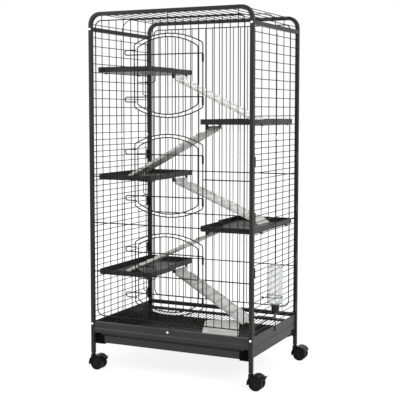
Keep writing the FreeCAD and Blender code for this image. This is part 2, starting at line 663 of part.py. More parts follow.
def panel_uprights(side):
    """Upright wires of the front or back panel, by their number from the middle."""
    last = int(number(f"({PANEL_HALF} - border_wire)/upright_pitch"))
    floor = {-1: "front_rail_top_z", 1: "back_rail_top_z"}[side]
    wires = []
    for k in range(-last, last + 1):
        low, high = "panel_low_z", PANEL_TOP
        if k in (-last, 0, last):
            low, high = floor, TOP_BAR_UNDER
        ends = [low, high]
        if side < 0 and abs(k) <= S.door_span:
            reach = opening_reach(k)
            for z in (LOW_DOOR, MID_DOOR, TOP_DOOR):
                ends[-1:-1] = [f"({z} - {reach})", f"({z} + {reach})"]
        for start, end in zip(ends[::2], ends[1::2]):
            wires.append(rod("Z", f"panel_shift + {k}*upright_pitch", f"{side}*{UPRIGHT_Y}", start,
                             f"{end} - {start}", "upright_wire"))
    return wires


def opening_reach(k):
    """From an opening's middle up to its arch, at an upright wire."""
    across = f"({k}*upright_pitch - (opening_right_gap - opening_left_gap)/2)"
    return f"({OPENING_HEIGHT}/2 - {OPENING_ARCH} + sqrt({OPENING_ARCH}^2 - {across}^2))"


def panel_border(side):
    x0 = number(f"panel_shift - {PANEL_HALF}")
    x1 = number(f"panel_shift + {PANEL_HALF}")
    y = side * S.post_pitch_y / 2
    low, top = S.panel_low_z, number(PANEL_TOP)
    corners = [(x0, y, low), (x1, y, low), (x1, y, top), (x0, y, top)]
    return bent_rod(bent_path(corners, S.panel_corner, closed=True), "border_wire")


def cross_wire(side, z, left, right):
    return rod("X", left, f"{side}*{CROSS_Y}", z, f"{right} - ({left})", "border_wire")


def opening_path(z, y):
    return arched_path(number(OPENING_LEFT), number(OPENING_RIGHT), number(z), number(OPENING_HALF),
                       S.opening_rise, S.opening_corner, y)


def wire_panels():
    back = panel_uprights(1)
    back.append(panel_border(1))
    back += [cross_wire(1, z, f"-{INNER_X}", INNER_X) for z in (CROSS_LOW, CROSS_MID, CROSS_HIGH)]
    node("back_panel", gather(back))

    front = panel_uprights(-1)
    front += [bent_rod(opening_path(z, -S.post_pitch_y / 2), "border_wire") for z in DOORS.values()]
    front.append(panel_border(-1))
    front.append(cross_wire(-1, CROSS_MID, f"-{INNER_X}", INNER_X))
    first_free = "(panel_shift - (door_span + 1)*upright_pitch - upright_wire)"
    for z in (CROSS_LOW, CROSS_HIGH):
        front.append(cross_wire(-1, z, f"-{INNER_X}", first_free))
        front.append(cross_wire(-1, z, OPENING_RIGHT, INNER_X))
    node("front_panel", gather(front))


def door(number_of_door, z):
    """An arched wire door with its bars, hairpin stops and latch guides."""
    y = -S.post_pitch_y / 2 - S.door_forward
    left, right = number(DOOR_LEFT), number(DOOR_RIGHT)
    middle = number(z)
    half_height = number(OPENING_HALF) - S.door_inset
    outline = arched_path(left, right, middle, half_height, S.opening_rise, S.opening_corner, y)
    wires = [bent_rod(outline, "border_wire")]
    half = (right - left) / 2
    arch = (half ** 2 + S.opening_rise ** 2) / (2 * S.opening_rise)
    upright_y = f"(-{UPRIGHT_Y} - door_forward)"
    inner = int(S.door_span) - 1
    for k in range(-inner, inner + 1):
        reach = half_height + S.opening_rise - arch + math.sqrt(arch ** 2 - (k * S.upright_pitch) ** 2)
        wires.append(rod("Z", f"panel_shift + {k}*upright_pitch", upright_y, f"{z} - {reach}", 2 * reach,
                         "upright_wire"))
    bar_y = y - S.border_wire
    hinge_x = number(OPENING_RIGHT)
    stop_x = number(OPENING_LEFT) - S.hairpin_reach
    for way in (1, -1):
        bar_z = middle + way * number(DOOR_BAR)
        turn_z = bar_z + way * S.hairpin_height
        route = [(hinge_x + S.border_wire / 2, bar_y, bar_z), (stop_x, bar_y, bar_z), (stop_x, bar_y, turn_z),
                 (stop_x + S.hairpin_return, bar_y, turn_z)]
        wires.append(bent_rod(bent_path(route, S.hairpin_height / 2 - 0.2), "border_wire"))
    if number_of_door == len(DOORS):
        wires.append(rod("X", DOOR_LEFT, f"-{POST_Y} - door_forward - border_wire", CROSS_LOW,
                         f"{DOOR_RIGHT} - {DOOR_LEFT}", "border_wire"))
    for way in (1, -1):
        wires.append(latch_guide(f"{z} + {way}*(latch_height - latch_wire)/2"))
    node(f"door_{number_of_door}", gather(wires))

    sleeves = []
    for way in (1, -1):
        top = f"({z} + {way}*{DOOR_BAR} - border_wire/2)"
        x, y = OPENING_RIGHT, f"-{POST_Y}"
        outside = rod("Z", x, y, f"{top} - hinge_length", "hinge_length", "hinge_od")
        bore = rod("Z", x, y, f"{top} - hinge_length", "hinge_length", "border_wire + 2*hinge_gap")
        sleeves.append(cut(outside, bore))
    node(f"door_{number_of_door}_hinges", gather(sleeves))


LATCH_Y = f"(-{UPRIGHT_Y} - door_forward + upright_wire/2 + latch_guide_od/2)"
GUIDE_X = "(panel_shift - (door_span - 1)*upright_pitch)"


def latch_guide(z):
    """A ring on the door's upright wire that the latch slides in."""
    start = f"{GUIDE_X} - latch_guide_length/2"
    outside = rod("X", start, LATCH_Y, z, "latch_guide_length", "latch_guide_od")
    bore = rod("X", start, LATCH_Y, z, "latch_guide_length", "latch_wire + 2*latch_gap")
    return cut(outside, bore)


def latch(number_of_door, z):
    """A sliding wire loop with a hooked handle hanging from it."""
    y = number(LATCH_Y)
    left = number(f"{OPENING_LEFT} + latch_left_gap")
    right = left + S.latch_width - S.latch_wire
    half = (S.latch_height - S.latch_wire) / 2
    middle = number(z)
    corners = [(left, y, middle - half), (right, y, middle - half), (right, y, middle + half),
               (left, y, middle + half)]
    loop = bent_rod(bent_path(corners, S.latch_corner, closed=True), "latch_wire")
    x = left + S.handle_inset
    handle_y = y + S.latch_wire
    low = middle - half - S.handle_drop
    route = [(x, handle_y, middle + half), (x, handle_y, low), (x + S.handle_reach, handle_y, low)]
    handle = bent_rod(bent_path(route, S.latch_corner), "latch_wire")
    node(f"latch_{number_of_door}", gather([loop, handle]))


def side_panels():
    span = f"2*{INNER_Y}"
    for name, side in (("left", -1), ("right", 1)):
        x = f"{side}*{SIDE_X}"
        upright_x = f"{side}*{SIDE_UPRIGHT_X}"
        edge_y = f"({INNER_Y} - side_edge_inset)"
        upper = [rod("Y", x, f"-{INNER_Y}", f"{UPPER_LOW} + {k}*upper_pitch", span, "side_wire")
                 for k in range(int(S.upper_count))]
        high = "(height - upper_top_drop + side_tip)"
        low = f"({UPPER_LOW} - side_tip)"
        upper += [rod("Z", upright_x, f"{sy}*{edge_y}", low, f"{high} - {low}", "side_upright") for sy in (-1, 1)]
        upper.append(rod("Z", upright_x, 0, low, f"{high} - {low}", "side_upright"))
        node(f"{name}_upper_side_panel", gather(upper))

        lower = [rod("Y", x, f"-{INNER_Y}", f"{LOWER_HIGH} - {k}*lower_pitch", span, "side_wire")
                 for k in range(lower_count())]
        high = f"({LOWER_HIGH} + side_tip)"
        low = f"({LOWER_HIGH} - {lower_count() - 1}*lower_pitch - side_tip/2)"
        lower += [rod("Z", upright_x, f"{sy}*{edge_y}", low, f"{high} - {low}", "side_upright") for sy in (-1, 1)]
        lower.append(rod("Z", upright_x, 0, "side_tail_z", f"{high} - side_tail_z", "side_upright"))
        node(f"{name}_lower_side_panel", gather(lower))


def lower_count():
    """Wires that a lower side has room for above the base panel."""
    return int(number(f"({LOWER_HIGH} - side_panel_top_z - lower_foot_gap)/lower_pitch")) + 1


def roof():
    """Wires along Y on a hoop that stands on the two top rails."""
    rows = int(number(f"({INNER_X} - roof_edge_gap)/upper_pitch"))
    span = f"2*{INNER_Y}"
    wires = [rod("Y", f"{k}*upper_pitch", f"-{INNER_Y}", ROOF_Z, span, "side_wire")
             for k in range(-rows, rows + 1)]
    wires += [rod("Y", f"{side}*{SIDE_X}", f"-{INNER_Y}", "height - hoop_side_drop", span, "side_wire")
              for side in (-1, 1)]
    x = number(f"{SIDE_X} - side_wire/2 - side_upright/2")
    foot = number(TOP_RAIL_Z) + S.tube / 2
    top = number(ROOF_Z) - S.side_wire / 2 - S.side_upright / 2
    route = [(-x, 0, foot), (-x, 0, top), (x, 0, top), (x, 0, foot)]
    radius = min(S.hoop_radius, top - foot - S.side_upright)
    wires.append(bent_rod(bent_path(route, radius), "side_upright"))
    node("roof_panel", gather(wires))


def clips():
    """Clips on the posts that hold the edge uprights of the lower sides."""
    pieces = []
    inside = f"({SIDE_X} + side_wire/2 + 0.1)"
    for sx in (-1, 1):
        for sy in (-1, 1):
            for k in range(4):
                x = inside if sx > 0 else f"(-{inside} - clip_thick)"
                y = f"({INNER_Y} - clip_width)" if sy > 0 else f"-{INNER_Y}"
                z = f"(clip_low_z + {k}*{CLIP_PITCH} - clip_height/2)"
                block = box(x, y, z, "clip_thick", "clip_width", "clip_height")
                rounded = round_off(block, S.clip_thick / 4, upright)
                groove = rod("Z", f"{sx}*{SIDE_UPRIGHT_X}", f"{sy}*({INNER_Y} - side_edge_inset)", f"{z} - 1",
                             "clip_height + 2", "side_upright + 0.2")
                pieces.append(cut(rounded, groove))
    node("side_clips", gather(pieces))


def wire_below(z):
    """Height of the side wire that a platform at this height hangs on."""
    rows = [number(UPPER_LOW) + k * S.upper_pitch for k in range(int(S.upper_count))]
    rows += [number(LOWER_HIGH) - k * S.lower_pitch for k in range(lower_count())]
    return max(row for row in rows if row + S.side_wire / 2 + S.hook_gap <= z + 1e-6)


def platform(index, side):
    """A shallow tray with a recess and a bar for its ramp, and hooks over a side wire."""
    low = PLATFORMS[index]
    wall = "platform_wall"

    def outline(inset):
        points = [(f"-{WALL_X} + {inset}", f"{PLATFORM_FRONT} + {inset}"),
                  (f"-platform_reach_x - {inset}", f"{PLATFORM_FRONT} + {inset}"),
                  (f"-platform_reach_x - {inset}", f"platform_step_y - {inset}"),
                  (f"-platform_recess_x - {inset}", f"platform_step_y - {inset}"),
                  (f"-platform_recess_x - {inset}", f"{PLATFORM_BACK} - {inset}"),
                  (f"-{WALL_X} + {inset}", f"{PLATFORM_BACK} - {inset}")]
        return [(f"{-side}*({x})", f"{-side}*({y})") for x, y in points]
    outer = prism("XY", outline("0"), low, "platform_rim")
    inner = prism("XY", outline(wall), f"{low} + {wall}", "platform_rim")

    def outer_corner(edge):
        away = abs(edge.CenterOfMass.y + side * S.platform_step_y)
        return upright(edge) and away > 2 * S.platform_wall
    shell = cut(round_off(outer, S.platform_corner, outer_corner),
                round_off(inner, S.platform_corner - S.platform_wall, outer_corner))
    wire = wire_below(number(low))
    pieces = [shell]
    top = wire + S.side_wire / 2 + S.hook_gap
    lip_x = f"({SIDE_X} + side_wire/2 + hook_gap)"
    for end in (f"({PLATFORM_FRONT} + hook_inset)", f"({PLATFORM_BACK} - hook_inset)"):
        y = f"({-side}*{end} - hook_width/2)"

        def hook_block(near, far, z0, z1):
            x = near if side > 0 else f"-({far})"
            return box(x, y, z0, f"({far}) - ({near})", "hook_width", f"{z1} - ({z0})")
        back = f"({WALL_X} - {wall})"
        pieces.append(hook_block(back, WALL_X, top, f"({low} + platform_rim/2)"))
        pieces.append(hook_block(back, f"{lip_x} + hook_thick", top, f"({top} + hook_thick)"))
        pieces.append(hook_block(lip_x, f"{lip_x} + hook_thick", f"({wire} - hook_drop)", f"({top} + hook_thick)"))
    near = f"({ramp_near(-side)} - ramp_lug_gap - ramp_lug)"
    far = f"({ramp_near(-side)} + ramp_width + ramp_lug_gap)"
    lug_x = f"{side}*(platform_recess_x + ramp_bar_inset) - ramp_bar_inset"
    for y in (near, far):
        drop = "(ramp_bar_drop + ramp_bar_inset)"
        pieces.append(box(lug_x, y, f"{low} - {drop}", "2*ramp_bar_inset", "ramp_lug", f"{drop} + platform_wall/2"))
    pieces.append(rod("Y", f"{side}*(platform_recess_x + ramp_bar_inset)", near, f"{low} - ramp_bar_drop",
                      f"{far} + ramp_lug - {near}", "ramp_bar_d"))
    node(f"platform_{index}", fuse(pieces))


def ramp_near(way):
    """The lower Y of a ramp that runs down this way along X."""
    return "ramp_start_y" if way > 0 else "(-ramp_start_y - ramp_width)"


def ramp(index, side, floor, length):
    """A ramp with treads, hung by its hook on the bar under a platform's edge.

    Its side view is worked out here: side is the way that it runs down, along X.
    """
    bar = V(-S.ramp_bar_inset, 0, number(f"{PLATFORMS[index]} - ramp_bar_drop"))
    inside = S.ramp_bar_d / 2 + S.ramp_gap
    outside = inside + S.ramp_hook
    start = bar + V(outside, 0, -S.ramp_tab)
    slope = math.asin((start.z - floor - S.ramp_toe) / length)
    along = V(math.cos(slope), 0, -math.sin(slope))
    out = V(math.sin(slope), 0, math.cos(slope))
    toe = start + along * length
    under = S.ramp_thick / math.cos(slope)
    heel = start.x + (start.z - under - floor) / math.tan(slope)
    bend = start.z - under + (outside - inside) * math.tan(slope)
    hook_end = bar.z - S.ramp_hook_drop
    treads = []
    for k in range(1, int((length - S.tread_pitch) / S.tread_pitch) + 1):
        foot = start + along * (k * S.tread_pitch)
        half = along * (S.tread_width / 2)
        crown = out * S.tread_height
        treads += [foot - half, foot - half / 2 + crown, foot + half / 2 + crown, foot + half]
    surface = [bar + V(outside, 0, 0), start] + treads + [toe, V(toe.x, 0, floor), V(heel, 0, floor),
                                                          V(bar.x + inside, 0, bend), bar + V(inside, 0, 0)]
    hook = [bar - V(inside, 0, 0), V(bar.x - inside, 0, hook_end), V(bar.x - outside, 0, hook_end),
            bar - V(outside, 0, 0)]
    rail_start = start + along * S.tread_width
    rail_end = toe - along * S.tread_width
    rail_out = out * S.ramp_side_rail
    lean = along * S.ramp_side_rail
    rail = [rail_start, rail_start + rail_out + lean, rail_end + rail_out - lean, rail_end]
    edge = -side * S.platform_recess_x
    near = number(ramp_near(side))

    def at(p, y):
        return V(edge + side * p.x, y, p.z)

    def runs(points, y):
        return [Part.LineSegment(at(p, y), at(q, y)) for p, q in zip(points, points[1:])]

    def over_bar(radius, y):
        return Part.Arc(at(bar - V(radius, 0, 0), y), at(bar + V(0, 0, radius), y), at(bar + V(radius, 0, 0), y))

    def slab(edges, y, width):
        base = drawn(Part.Face(Part.Wire(Part.__sortEdges__([line.toShape() for line in edges]))), "SideView")
        thing = doc.addObject("Part::Extrusion", "Slab")
        thing.Base = base
        thing.DirMode = "Custom"
        thing.Dir = V(0, 1, 0)
        thing.Solid = True
        bind(thing, LengthFwd=width)
        return thing
    plate = runs(surface, near) + [over_bar(inside, near)] + runs(hook, near) + [over_bar(outside, near)]
    far = near + S.ramp_width - S.ramp_side_rail
    rails = [slab(runs(rail + rail[:1], y), y, "ramp_side_rail") for y in (near, far)]
    node(f"ramp_{index}", fuse([slab(plate, near, "ramp_width")] + rails))


def inside_parts():
    sides = {1: -1, 2: 1, 3: -1, 4: 1, 5: -1}
    for index, side in sides.items():
        platform(index, side)
    mat = round_off(box("-mat_width/2", "-mat_length/2", 0, "mat_width", "mat_length", "mat_thick"),
                    S.mat_corner, upright)
    whole = gather([mat])
    whole.Placement = FreeCAD.Placement(V(), FreeCAD.Rotation(V(0, 0, 1), S.mat_turn))
    move(whole, "mat_x", "mat_y", GRATE_TOP)
    node("landing_mat", whole)
    for index, side in sides.items():
        if index < len(sides):
            ramp(index, -side, number(f"{PLATFORMS[index + 1]} + platform_wall"), S.ramp_length)
        else:
            ramp(index, -side, number(GRATE_TOP), S.low_ramp_length)


def revolved(points, axis_x=0, axis_y=0):
    """A turned piece from its half section (radius, height), about an upright axis."""
    corners = [V(axis_x + r, axis_y, z) for r, z in points]
    base = drawn(Part.Face(Part.makePolygon(corners + corners[:1])), "HalfSection")
    thing = doc.addObject("Part::Revolution", "Turned")
    thing.Source = base
    thing.Axis = V(0, 0, 1)
    thing.Base = V(axis_x, axis_y, 0)
    thing.Angle = 360
    thing.Solid = True
    return thing


def caster(corner, sx, sy, braked):
    x, y = f"({sx}*{POST_X})", f"({sy}*{POST_Y})"
    axle_x = f"({x} + caster_trail)"
    axle_z = "wheel_d/2"
    hood_r = "(wheel_d/2 + hood_gap + hood_wall)"
    shell_r = "(wheel_d/2 + hood_gap)"
    hood_top = "(post_foot_z - stem_collar_h - 0.3)"
    start = f"({y} - hood_width/2)"

    drum = rod("Y", axle_x, start, axle_z, "hood_width", f"2*{hood_r}")
    hollow = rod("Y", axle_x, f"{start} - 1", axle_z, "hood_width + 2", f"2*{shell_r}")
    below = box(f"{axle_x} - {hood_r} - 1", f"{start} - 2", f"hood_low_z - wheel_d", f"2*{hood_r} + 2", "hood_width + 4",
                "wheel_d")
    ahead = box(f"{axle_x} + {shell_r}*0.45", f"{start} - 2", f"{axle_z} - wheel_d", f"2*{hood_r}", "hood_width + 4",
                f"wheel_d + {hood_r}*0.42")
    fender = cut(cut(drum, hollow), fuse([below, ahead]))
    web_disc = rod("Y", axle_x, f"{y} - web/2", axle_z, "web", f"2*{shell_r} + 1")
    web_low = box(f"{axle_x} - {hood_r}", f"{y} - web", f"{axle_z} - wheel_d", f"2*{hood_r}", "2*web",
                  "wheel_d - axle_d*1.1")
    web_front = box(f"{axle_x} + axle_d*1.1", f"{y} - web", f"{axle_z} - wheel_d", "wheel_d", "2*web",
                    f"wheel_d + {hood_r}*0.42")
    web = cut(web_disc, fuse([web_low, web_front]))
    boss = rod("Z", x, y, "stem_low_z", f"{hood_top} - stem_low_z", "stem_boss_d")
    boss_web = cut(boss, wheel_space(axle_x, y, axle_z))
    bore = rod("Z", x, y, 0, "height", "stem_d + 2*stem_gap")
    axle_hole = rod("Y", axle_x, f"{y} - hood_width", axle_z, "2*hood_width", "axle_d + axle_gap")
    solid = [fender, web, boss_web]
    if braked:
        solid = [cut(fender, brake_slot(axle_x, y)), web, boss_web] + brake_pin(axle_x, y)
        brake(corner, axle_x, y)
    node(f"caster_hood_{corner}", cut(fuse(solid), gather([bore, axle_hole])))

    wheels = []
    for way in (-1, 1):
        inner = f"({y} + {way}*(web/2 + wheel_side_gap))"
        near = inner if way > 0 else f"({inner} - wheel_width)"
        tread = round_off(rod("Y", axle_x, near, axle_z, "wheel_width", "wheel_d"), S.wheel_round,
                          lambda edge: isinstance(edge.Curve, Part.Circle))
        outer_face = f"({inner} + {way}*wheel_width)"
        dish_start = f"({outer_face} - wheel_dish)" if way > 0 else outer_face
        ring = cut(rod("Y", axle_x, dish_start, axle_z, "wheel_dish", "wheel_d - 4*wheel_round"),
                   rod("Y", axle_x, dish_start, axle_z, "wheel_dish", "wheel_hub_d/2"))
        hole = rod("Y", axle_x, f"{near} - 1", axle_z, "wheel_width + 2", "axle_d + 2*axle_gap")
        wheels.append(cut(tread, gather([ring, hole])))
    node(f"caster_wheels_{corner}", gather(wheels))
    half = "(web/2 + wheel_side_gap + wheel_width - 1)"
    node(f"caster_axle_{corner}", rod("Y", axle_x, f"{y} - {half}", axle_z, f"2*{half}", "axle_d"))


def wheel_space(axle_x, y, axle_z):
    """The room that the two wheels need in the boss round the stem."""
    sides = []
    for way in (-1, 1):
        start = f"{y} + {way}*web/2" if way > 0 else f"{y} - web/2 - hood_width"
        sides.append(rod("Y", axle_x, start, axle_z, "hood_width", "wheel_d + 2*hood_gap"))
    return gather(sides)


PIN_RADIUS = "(wheel_d/2 + brake_eye_d/2 + 1)"
PIN_RISE = f"({PIN_RADIUS}*sin(brake_pin_angle))"
PIN_AHEAD = f"({PIN_RADIUS}*cos(brake_pin_angle))"
PIN_Z = f"(wheel_d/2 + {PIN_RISE})"


def brake_pin(axle_x, y):
    """An ear on the hood's web, and the pin through it."""
    x = f"({axle_x} + {PIN_AHEAD})"
    ear = rod("Y", x, f"{y} - web/2", PIN_Z, "web", "brake_eye_d")
    half = "(web/2 + wheel_side_gap + brake_cheek)"
    pin = rod("Y", x, f"{y} - {half}", PIN_Z, f"2*{half}", "brake_pin_d")
    return [ear, pin]


def brake_slot(axle_x, y):
    """The slot in the hood's shell that the lever's eyes turn in."""
    half = "(web/2 + 2*wheel_side_gap + brake_cheek)"
    room = "(brake_eye_d/2 + wheel_side_gap)"
    return box(f"{axle_x} + {PIN_AHEAD} - {room}", f"{y} - {half}", f"wheel_d/2", "wheel_d", f"2*{half}", "wheel_d")


def brake(corner, axle_x, y):
    """A foot lever with two eyes on the hood's pin and a turned-up tip."""
    x = f"({axle_x} + {PIN_AHEAD})"
    tip = f"({axle_x} - caster_trail + brake_reach)"
    clear = f"({x} + brake_eye_d/2 + wheel_side_gap)"
    low = f"({PIN_Z} - brake_thick/2)"
    side_view = [(clear, low), (f"({clear} + {tip})/2", low), (tip, f"{low} + brake_thick"),
                 (tip, f"{low} + 2*brake_thick"), (f"({clear} + {tip})/2", f"{low} + brake_thick"),
                 (clear, f"{low} + brake_thick")]
    bar = prism("XZ", side_view, f"{y} - brake_width/2", "brake_width")
    pad = round_off(box(clear, f"{y} - brake_width/2", low, f"{tip} - {clear}", "brake_width", "3*brake_thick"),
                    S.brake_width / 5, upright)
    plate = doc.addObject("Part::MultiCommon", "Plate")
    plate.Shapes = [bar, pad]
    pieces = [plate]
    holes = []
    for way in (-1, 1):
        inner = f"({y} + {way}*(web/2 + wheel_side_gap))"
        start = inner if way > 0 else f"({inner} - brake_cheek)"
        pieces.append(rod("Y", x, start, PIN_Z, "brake_cheek", "brake_eye_d"))
        pieces.append(box(x, start, low, "brake_eye_d/2 + 2*brake_thick", "brake_cheek", "brake_thick"))
        holes.append(rod("Y", x, f"{start} - 1", PIN_Z, "brake_cheek + 2", "brake_pin_d + 2*brake_pin_gap"))
    node(f"brake_lever_{corner}", cut(fuse(pieces), gather(holes)))


def stems():
    pieces = []
    for sx in (-1, 1):
        for sy in (-1, 1):
            x, y = f"({sx}*{POST_X})", f"({sy}*{POST_Y})"
            side = "(tube - 2*tube_wall - 2*insert_gap)"
            pin = rod("Z", x, y, "stem_low_z", "post_foot_z - stem_low_z", "stem_d")
            collar = rod("Z", x, y, "post_foot_z - stem_collar_h", "stem_collar_h", "stem_collar_d")
            insert = box(f"{x} - {side}/2", f"{y} - {side}/2", "post_foot_z", side, side, "insert_height")
            rounded = round_off(insert, S.tube_corner, upright)
            pieces.append(fuse([pin, collar, rounded]))
    node("caster_stems", gather(pieces))


def bottle():
    x, y = number(BOTTLE_X), S.bottle_y
    outside, wall = S.bottle_d / 2, S.bottle_wall
    neck = S.bottle_neck_d / 2
    low, top = S.bottle_low_z, S.bottle_top_z
    shoulder = low + S.bottle_shoulder
    mouth = low - S.bottle_neck_h
    dome = outside * 0.25
    section = [(neck - wall, mouth), (neck, mouth), (neck, low), (outside, shoulder), (outside, top - dome),
               (outside - dome, top), (0, top), (0, top - wall), (outside - dome - wall / 2, top - wall),
               (outside - wall, top - dome - wall / 2), (outside - wall, shoulder + wall / 2),
               (neck - wall, low + wall / 2)]
    node("bottle_body", revolved(section, x, y))

    cap_x, cap_low = BOTTLE_X, "(bottle_low_z - cap_h)"
    shell = round_off(rod("Z", cap_x, "bottle_y", cap_low, "cap_h", "cap_d"), S.cap_floor / 3,
                      lambda edge: abs(edge.BoundBox.ZMax - number(cap_low)) < 1e-6)
    pocket = rod("Z", cap_x, "bottle_y", "bottle_low_z - bottle_neck_h", "bottle_neck_h + 1", "bottle_neck_d + 0.1")
    hole = rod("Z", cap_x, "bottle_y", f"{cap_low} - 1", "cap_h", "spout_d + 0.1")
    node("bottle_cap", cut(shell, gather([pocket, hole])))

    spout_z = number(spout_level())
    route = [(x, y, low - S.bottle_neck_h - 1), (x, y, spout_z), (number(SIDE_X) - S.spout_reach, y, spout_z)]
    path = bent_path(route, S.spout_bend)
    node("bottle_spout", cut(bent_rod(path, "spout_d"), bent_rod(path, "spout_d - 2*spout_wall")))

    ring_r = outside + S.holder_gap + S.holder_wire / 2
    rows = round(number(f"({LOWER_HIGH} - bottle_low_z - holder_rise)/lower_pitch"))
    z = number(f"{LOWER_HIGH} - {rows}*lower_pitch + side_wire/2 + holder_wire/2")
    end_x = number(f"{SIDE_X} - side_wire/2 - holder_ball_d/2 - holder_gap")
    front = V(x, y - ring_r, z)
    back = V(x, y + ring_r, z)
    edges = [Part.LineSegment(V(end_x, front.y, z), front).toShape(),
             Part.Arc(front, V(x + ring_r, y, z), back).toShape(),
             Part.LineSegment(back, V(end_x, back.y, z)).toShape()]
    pieces = [bent_rod(Part.Wire(edges), "holder_wire")]
    for end in (front, back):
        ball = doc.addObject("Part::Sphere", "Ball")
        bind(ball, Radius="holder_ball_d/2")
        move(ball, end_x, end.y, z)
        pieces.append(ball)
    node("bottle_holder", fuse(pieces))


def spout_level():
    """Midway between two side wires, below the cap."""
    steps = math.ceil(number(f"({LOWER_HIGH} - bottle_low_z + cap_h)/lower_pitch"))
    return f"{LOWER_HIGH} - ({steps} + 0.5)*lower_pitch"


frame_parts()
base_parts()
grate_and_tray()
wire_panels()
for index, height in DOORS.items():
    door(index, height)
    latch(index, height)
side_panels()
roof()
clips()
inside_parts()
stems()
for corner, sx, sy, braked in (("fl", -1, -1, True), ("fr", 1, -1, True), ("bl", -1, 1, False), ("br", 1, 1, False)):
    caster(corner, sx, sy, braked)
bottle()

doc.recompute()
for thing in doc.Objects:
    if "Invalid" in thing.State or "Error" in thing.State:
        raise RuntimeError(f"{thing.Name} ({thing.Label}) failed: {thing.State}")
for name, thing in nodes.items():
    if thing.Shape.isNull() or not thing.Shape.isValid() or not thing.Shape.Solids:
        raise RuntimeError(f"{name} has no valid solid")
os.makedirs("parts", exist_ok=True)
for name, thing in nodes.items():
    thing.Shape.exportStep(f"parts/{name}.step")
    print(f"{name}: {len(thing.Shape.Solids)} solids, {thing.Shape.Volume / 1000:.1f} cm3")
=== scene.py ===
"""Looks of the tall small animal cage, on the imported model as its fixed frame. Metres, +Z up."""
import math

import bmesh
import bpy
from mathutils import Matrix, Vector


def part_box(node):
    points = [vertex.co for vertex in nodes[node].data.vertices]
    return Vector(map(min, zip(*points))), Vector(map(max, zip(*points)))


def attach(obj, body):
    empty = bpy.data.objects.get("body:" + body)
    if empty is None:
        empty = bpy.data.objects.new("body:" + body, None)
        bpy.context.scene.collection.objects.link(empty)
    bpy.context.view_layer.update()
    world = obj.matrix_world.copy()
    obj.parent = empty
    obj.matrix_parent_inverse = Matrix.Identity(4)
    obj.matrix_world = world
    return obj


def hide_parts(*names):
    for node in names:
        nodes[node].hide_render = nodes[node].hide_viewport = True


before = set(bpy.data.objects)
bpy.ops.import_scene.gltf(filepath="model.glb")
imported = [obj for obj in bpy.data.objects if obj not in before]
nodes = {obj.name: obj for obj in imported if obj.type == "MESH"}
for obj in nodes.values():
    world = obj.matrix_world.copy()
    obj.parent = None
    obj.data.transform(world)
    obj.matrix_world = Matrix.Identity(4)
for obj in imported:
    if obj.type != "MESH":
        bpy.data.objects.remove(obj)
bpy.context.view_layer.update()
scene = bpy.context.scene

# Nearly all values of a noise lie between these two
NOISE_LOW = 0.3
NOISE_HIGH = 0.7
PLASTIC_IOR = 1.46
# How far the roughness strays from its written value
SMOOTHER = 0.06
ROUGHER = 0.08
STREAKED = 0.07


def scaled(tree, value, source, target):
    """A value laid out from one range to another, and kept inside it."""
    node = tree.nodes.new("ShaderNodeMapRange")
    node.inputs["From Min"].default_value, node.inputs["From Max"].default_value = source
    node.inputs["To Min"].default_value, node.inputs["To Max"].default_value = target
    tree.links.new(value, node.inputs["Value"])
    return node.outputs["Result"]


class Shader:
    """A material with a Principled shader, and short ways to add texture nodes to it."""

    def __init__(self, name):
        self.material = bpy.data.materials.new(name)
        self.material.use_nodes = True
        self.tree = self.material.node_tree
        self.shader = self.tree.nodes["Principled BSDF"]
        self.place = self.add("ShaderNodeTexCoord").outputs["Object"]

    def add(self, kind):
        return self.tree.nodes.new(kind)

    def link(self, output, target):
        self.tree.links.new(output, target)

    def noise(self, scale, detail, stretch=(1, 1, 1)):
        mapping = self.add("ShaderNodeMapping")
        mapping.inputs["Scale"].default_value = stretch
        self.link(self.place, mapping.inputs["Vector"])
        texture = self.add("ShaderNodeTexNoise")
        texture.inputs["Scale"].default_value = scale
        texture.inputs["Detail"].default_value = detail
        self.link(mapping.outputs["Vector"], texture.inputs["Vector"])
        return texture.outputs["Fac"]

    def cells(self, scale):
        texture = self.add("ShaderNodeTexVoronoi")
        texture.inputs["Scale"].default_value = scale
        self.link(self.place, texture.inputs["Vector"])
        return texture.outputs["Distance"]

    def ramp(self, value, stops):
        """Colours along a value, as (place, linear colour) pairs."""
        ramp = self.add("ShaderNodeValToRGB")
        elements = ramp.color_ramp.elements
        while len(elements) < len(stops):
            elements.new(0.5)
        for element, (place, colour) in zip(elements, stops):
            element.position = place
            element.color = (*colour, 1.0)
        self.link(value, ramp.inputs["Fac"])
        return ramp.outputs["Color"]

    def greys(self, value, dark, light):
        """A grey that follows a noise."""
        return self.ramp(value, [(NOISE_LOW, (dark, dark, dark)), (NOISE_HIGH, (light, light, light))])

    def spread(self, value, low, high):
        """A noise laid out from low to high."""
        return scaled(self.tree, value, (NOISE_LOW, NOISE_HIGH), (low, high))

    def bump(self, value, strength, depth):
        node = self.add("ShaderNodeBump")
        node.inputs["Strength"].default_value = strength
        node.inputs["Distance"].default_value = depth
        self.link(value, node.inputs["Height"])
        return node.outputs["Normal"]

    def set(self, **values):
        for key, value in values.items():
            self.shader.inputs[key.replace("_", " ")].default_value = value

    def finish(self, colour, roughness, normal):
        self.link(colour, self.shader.inputs["Base Color"])
        self.link(roughness, self.shader.inputs["Roughness"])
        self.link(normal, self.shader.inputs["Normal"])
        return self.material


def powder_coat(name, dark, light, gloss):
    """Charcoal powder coat with a fine orange-peel grain."""
    coat = Shader(name)
    cloud = coat.noise(scale=7.0, detail=3.0)
    grain = coat.noise(scale=1400.0, detail=2.0)
    colour = coat.greys(cloud, dark, light)
    normal = coat.bump(grain, strength=0.25, depth=0.0003)
    coat.set(Specular_IOR_Level=gloss)
    return coat.finish(colour, coat.spread(grain, low=0.34, high=0.50), normal)


